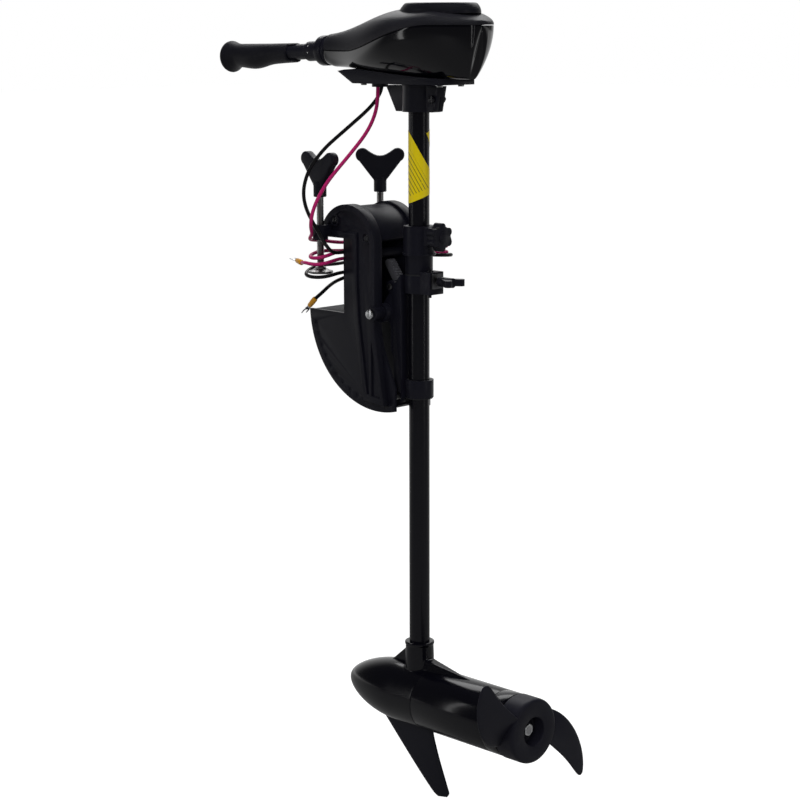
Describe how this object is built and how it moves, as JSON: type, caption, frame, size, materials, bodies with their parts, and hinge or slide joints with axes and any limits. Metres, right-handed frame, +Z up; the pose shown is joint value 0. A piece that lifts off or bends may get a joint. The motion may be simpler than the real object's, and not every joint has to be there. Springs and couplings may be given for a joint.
{
  "type": "trolling motor",
  "caption": "Transom-mount electric trolling motor with tilting clamp bracket, sliding swivel shaft, twist-grip tiller head, motor pod, skeg and propeller.",
  "frame": {"origin": "middle of the clamp's flat seat, which rests on the top edge of the transom", "axes": "+Z up the shaft to the head, +X from the clamp to the shaft and the propeller, +Y to the side away from the steering lever's thumb; the motor is tilted up for stowing"},
  "size_m": [0.5968, 0.2104, 1.0847],
  "materials": {
    "clamp_plastic": "moulded, fine grain",
    "pad_plastic": "ridged",
    "zinc_steel": "zinc plated",
    "knob_plastic": "moulded",
    "bush_plastic": "smooth",
    "lever_plastic": "ribbed",
    "shaft_paint": "gloss black",
    "marker_yellow": "printed film",
    "shell_gloss": "polished",
    "cover_plastic": "satin",
    "grip_rubber": "matte",
    "pod_paint": "gloss black",
    "prop_plastic": "moulded",
    "magnet": "ferrite",
    "copper": "enamelled wire",
    "seal_rubber": "matte",
    "switch_plastic": "phenolic",
    "wire_red": "insulation",
    "wire_black": "insulation",
    "sleeve_yellow": "vinyl sleeve"
  },
  "bodies": {
    "clamp": {"side_plate_left": "clamp_plastic", "side_plate_right": "clamp_plastic", "clamp_bridge": "clamp_plastic", "transom_pad": "pad_plastic", "spacer_tube": "clamp_plastic", "bridge_bolts": "zinc_steel", "tilt_pin": "zinc_steel"},
    "left_foot": {"foot_left": "zinc_steel"},
    "left_screw": {"screw_left": "zinc_steel", "wing_knob_left": "knob_plastic"},
    "right_foot": {"foot_right": "zinc_steel"},
    "right_screw": {"screw_right": "zinc_steel", "wing_knob_right": "knob_plastic"},
    "swivel_bracket": {"swivel_bracket": "clamp_plastic", "swivel_bushes": "bush_plastic", "tension_nut": "zinc_steel", "tension_nut_pin": "shaft_paint", "lever_pin": "zinc_steel"},
    "tension_shoe": {"tension_shoe": "bush_plastic"},
    "tension_screw": {"tension_screw": "zinc_steel", "tension_knob": "knob_plastic"},
    "tilt_lever": {"tilt_lever": "lever_plastic"},
    "lock_pin": {"lock_pin": "zinc_steel", "pull_rod": "zinc_steel"},
    "depth_collar": {"depth_collar": "clamp_plastic"},
    "depth_shoe": {"depth_shoe": "bush_plastic"},
    "depth_screw": {"depth_screw": "zinc_steel", "depth_knob": "knob_plastic"},
    "shaft": {"shaft_tube": "shaft_paint", "shaft_leads": "wire_red", "marker_tape": "marker_yellow", "neck_clamp": "cover_plastic", "neck_screw": "zinc_steel", "base_plate": "cover_plastic", "lower_shell": "shell_gloss", "upper_cover": "cover_plastic", "lid": "cover_plastic", "cover_screws": "zinc_steel", "tiller_collar": "cover_plastic", "speed_switch": "switch_plastic", "nose_casting": "pod_paint", "skeg": "prop_plastic", "motor_can": "pod_paint", "end_cap": "pod_paint", "pod_seals": "seal_rubber", "magnets": "magnet", "bearings": "zinc_steel", "brush_gear": "switch_plastic", "through_bolts": "zinc_steel", "red_wire": "wire_red", "black_wire": "wire_black", "wire_hank": "wire_red", "fork_terminals": "sleeve_yellow"},
    "tiller": {"tiller_tube": "cover_plastic"},
    "grip": {"twist_grip": "grip_rubber", "drive_tube": "bush_plastic"},
    "spindle": {"switch_spindle": "zinc_steel"},
    "propeller": {"propeller": "prop_plastic", "armature": "copper", "drive_fixings": "zinc_steel"}
  },
  "joints": [
    {"name": "tilt", "type": "hinge", "parent": "clamp", "child": "swivel_bracket", "pos_m": [0.066, 0, -0.046], "axis": [0, 1, 0], "range_deg": [0, 90], "deforming": ["red_wire", "black_wire", "wire_hank", "fork_terminals"]},
    {"name": "left_screw_feed", "type": "slide", "parent": "clamp", "child": "left_foot", "axis": [0, 0, 1], "range_m": [-0.037, 0.03]},
    {"name": "left_screw_turn", "type": "hinge", "parent": "left_foot", "child": "left_screw", "pos_m": [-0.022, -0.057, 0.1], "axis": [0, 0, 1], "range_deg": [-6661, 5401]},
    {"name": "right_screw_feed", "type": "slide", "parent": "clamp", "child": "right_foot", "axis": [0, 0, 1], "range_m": [-0.037, 0.03]},
    {"name": "right_screw_turn", "type": "hinge", "parent": "right_foot", "child": "right_screw", "pos_m": [-0.022, 0.057, 0.1], "axis": [0, 0, 1], "range_deg": [-6661, 5401]},
    {"name": "tension_feed", "type": "slide", "parent": "swivel_bracket", "child": "tension_shoe", "axis": [1, 0, 0], "range_m": [0, 0.003]},
    {"name": "tension_turn", "type": "hinge", "parent": "tension_shoe", "child": "tension_screw", "pos_m": [0.14, 0, 0.001], "axis": [1, 0, 0], "range_deg": [0, 865]},
    {"name": "lever_swing", "type": "hinge", "parent": "swivel_bracket", "child": "tilt_lever", "pos_m": [0.076, 0, -0.01], "axis": [0, 1, 0], "range_deg": [0, 30.9]},
    {"name": "lock_slide", "type": "slide", "parent": "swivel_bracket", "child": "lock_pin", "axis": [0, 0, -1], "range_m": [0, 0.0084], "stiffness_N_per_m": 400, "springref_m": 0.02},
    {"name": "steer", "type": "hinge", "parent": "swivel_bracket", "child": "depth_collar", "pos_m": [0.11, 0, 0], "axis": [0, 0, 1], "range_deg": [-110, 110]},
    {"name": "depth_feed", "type": "slide", "parent": "depth_collar", "child": "depth_shoe", "axis": [1, 0, 0], "range_m": [0, 0.003]},
    {"name": "depth_turn", "type": "hinge", "parent": "depth_shoe", "child": "depth_screw", "pos_m": [0.14, 0, 0.0598], "axis": [1, 0, 0], "range_deg": [0, 865]},
    {"name": "depth", "type": "slide", "parent": "depth_collar", "child": "shaft", "axis": [0, 0, 1], "range_m": [-0.028, 0.25]},
    {"name": "tiller_reach", "type": "slide", "parent": "shaft", "child": "tiller", "axis": [-0.9991, 0, -0.0419], "range_m": [0, 0.12]},
    {"name": "grip_turn", "type": "hinge", "parent": "tiller", "child": "grip", "pos_m": [-0.081, 0, 0.3005], "axis": [-0.9991, 0, -0.0419], "range_deg": [-60, 100]},
    {"name": "spindle_turn", "type": "hinge", "parent": "shaft", "child": "spindle", "pos_m": [-0.081, 0, 0.3005], "axis": [-0.9991, 0, -0.0419], "range_deg": [-60, 100]},
    {"name": "propeller_spin", "type": "hinge", "parent": "shaft", "child": "propeller", "pos_m": [0.11, 0, -0.581], "axis": [1, 0, 0], "continuous": true}
  ],
  "couplings": [
    {"joint": "left_screw_turn", "follows": "left_screw_feed", "rad_per_m": 3141.6},
    {"joint": "right_screw_turn", "follows": "right_screw_feed", "rad_per_m": 3141.6},
    {"joint": "tension_turn", "follows": "tension_feed", "rad_per_m": 5026.5},
    {"joint": "depth_turn", "follows": "depth_feed", "rad_per_m": 5026.5},
    {"joint": "lever_swing", "follows": "lock_slide", "rad_per_m": 64.2},
    {"joint": "spindle_turn", "follows": "grip_turn", "ratio": 1}
  ]
}
